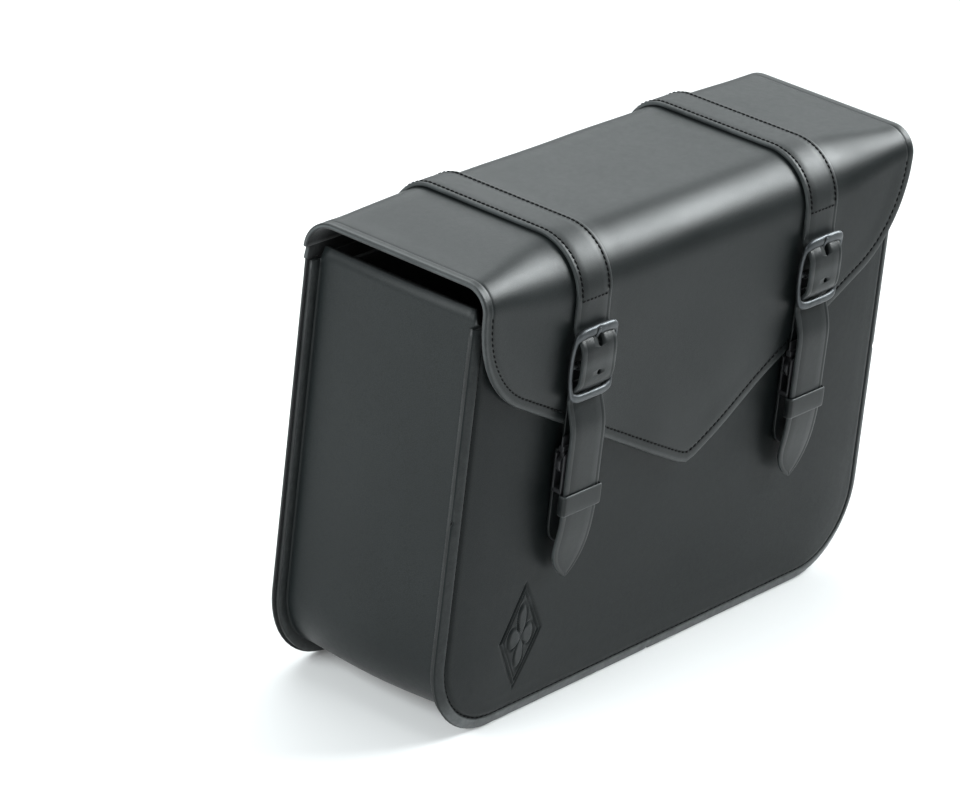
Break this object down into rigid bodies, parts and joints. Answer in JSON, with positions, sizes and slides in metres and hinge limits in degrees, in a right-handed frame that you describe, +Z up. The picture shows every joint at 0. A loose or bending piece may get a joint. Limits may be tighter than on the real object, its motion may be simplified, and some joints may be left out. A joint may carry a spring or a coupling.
{
  "type": "motorcycle saddlebag",
  "caption": "Rigid leather side bag for a motorcycle, with a fold-over pointed lid, buckled straps over hidden quick-release clips, and belt loops on its back.",
  "frame": {"origin": "middle of the footprint, on the floor", "axes": "+X along the bag's length to the right seen from the buckle side, +Y towards the motorcycle, +Z up"},
  "size_m": [0.4188, 0.1581, 0.3047],
  "materials": {
    "case_leather": "satin black, smooth",
    "strap_leather": "satin black, black stitching",
    "buckle_metal": "satin gunmetal",
    "clip_plastic": "semi-gloss black",
    "webbing": "woven black",
    "board": "matt dark grey"
  },
  "bodies": {
    "bag": {"front_panel": "case_leather", "back_panel": "case_leather", "gusset": "case_leather", "seam_flange_front": "case_leather", "seam_flange_back": "case_leather", "back_stiffener": "board", "eyelet_left": "buckle_metal", "eyelet_right": "buckle_metal", "band_upper": "webbing", "band_lower": "webbing", "belt_loop_upper_1": "webbing", "belt_loop_upper_2": "webbing", "belt_loop_upper_3": "webbing", "belt_loop_upper_4": "webbing", "belt_loop_lower_1": "webbing", "belt_loop_lower_2": "webbing", "belt_loop_lower_3": "webbing", "belt_loop_lower_4": "webbing", "anchor_strap_left": "strap_leather", "anchor_rivet_left": "buckle_metal", "clip_socket_left": "clip_plastic", "anchor_strap_right": "strap_leather", "anchor_rivet_right": "buckle_metal", "clip_socket_right": "clip_plastic"},
    "lid": {"lid": "case_leather", "lid_strap_left": "strap_leather", "lid_strap_right": "strap_leather"},
    "strap_left": {"billet_left": "strap_leather", "buckle_frame_left": "buckle_metal", "bar_fold_left": "strap_leather", "keeper_left": "strap_leather"},
    "prong_left": {"prong_left": "buckle_metal"},
    "clip_left": {"tail_strap_left": "strap_leather", "clip_tongue_left": "clip_plastic"},
    "clip_arm_left_1": {"clip_arm_left_1": "clip_plastic"},
    "clip_arm_left_2": {"clip_arm_left_2": "clip_plastic"},
    "strap_right": {"billet_right": "strap_leather", "buckle_frame_right": "buckle_metal", "bar_fold_right": "strap_leather", "keeper_right": "strap_leather"},
    "prong_right": {"prong_right": "buckle_metal"},
    "clip_right": {"tail_strap_right": "strap_leather", "clip_tongue_right": "clip_plastic"},
    "clip_arm_right_1": {"clip_arm_right_1": "clip_plastic"},
    "clip_arm_right_2": {"clip_arm_right_2": "clip_plastic"}
  },
  "joints": [
    {"name": "lid_hinge", "type": "hinge", "parent": "bag", "child": "lid", "pos_m": [0, 0.0695, 0.278], "axis": [-1, 0, 0], "range_deg": [0, 95]},
    {"name": "strap_left_swing", "type": "hinge", "parent": "lid", "child": "strap_left", "pos_m": [-0.111, -0.0695, 0.262], "axis": [-1, 0, 0], "range_deg": [0, 60]},
    {"name": "prong_left_pivot", "type": "hinge", "parent": "strap_left", "child": "prong_left", "pos_m": [-0.111, -0.0726, 0.231], "axis": [1, 0, 0], "range_deg": [0, 6]},
    {"name": "clip_left_release", "type": "slide", "parent": "strap_left", "child": "clip_left", "axis": [0, 0, 1], "range_m": [0, 0.013]},
    {"name": "clip_left_squeeze_1", "type": "hinge", "parent": "clip_left", "child": "clip_arm_left_1", "pos_m": [-0.1235, -0.0705, 0.1755], "axis": [0, -1, 0], "range_deg": [0, 7], "stiffness_Nm_per_rad": 0.1},
    {"name": "clip_left_squeeze_2", "type": "hinge", "parent": "clip_left", "child": "clip_arm_left_2", "pos_m": [-0.0985, -0.0705, 0.1755], "axis": [0, 1, 0], "range_deg": [0, 7], "stiffness_Nm_per_rad": 0.1},
    {"name": "strap_right_swing", "type": "hinge", "parent": "lid", "child": "strap_right", "pos_m": [0.111, -0.0695, 0.262], "axis": [-1, 0, 0], "range_deg": [0, 60]},
    {"name": "prong_right_pivot", "type": "hinge", "parent": "strap_right", "child": "prong_right", "pos_m": [0.111, -0.0726, 0.231], "axis": [1, 0, 0], "range_deg": [0, 6]},
    {"name": "clip_right_release", "type": "slide", "parent": "strap_right", "child": "clip_right", "axis": [0, 0, 1], "range_m": [0, 0.013]},
    {"name": "clip_right_squeeze_1", "type": "hinge", "parent": "clip_right", "child": "clip_arm_right_1", "pos_m": [0.0985, -0.0705, 0.1755], "axis": [0, -1, 0], "range_deg": [0, 7], "stiffness_Nm_per_rad": 0.1},
    {"name": "clip_right_squeeze_2", "type": "hinge", "parent": "clip_right", "child": "clip_arm_right_2", "pos_m": [0.1235, -0.0705, 0.1755], "axis": [0, 1, 0], "range_deg": [0, 7], "stiffness_Nm_per_rad": 0.1}
  ],
  "couplings": [
    {"joint": "clip_left_squeeze_2", "follows": "clip_left_squeeze_1", "ratio": 1},
    {"joint": "clip_right_squeeze_2", "follows": "clip_right_squeeze_1", "ratio": 1}
  ]
}
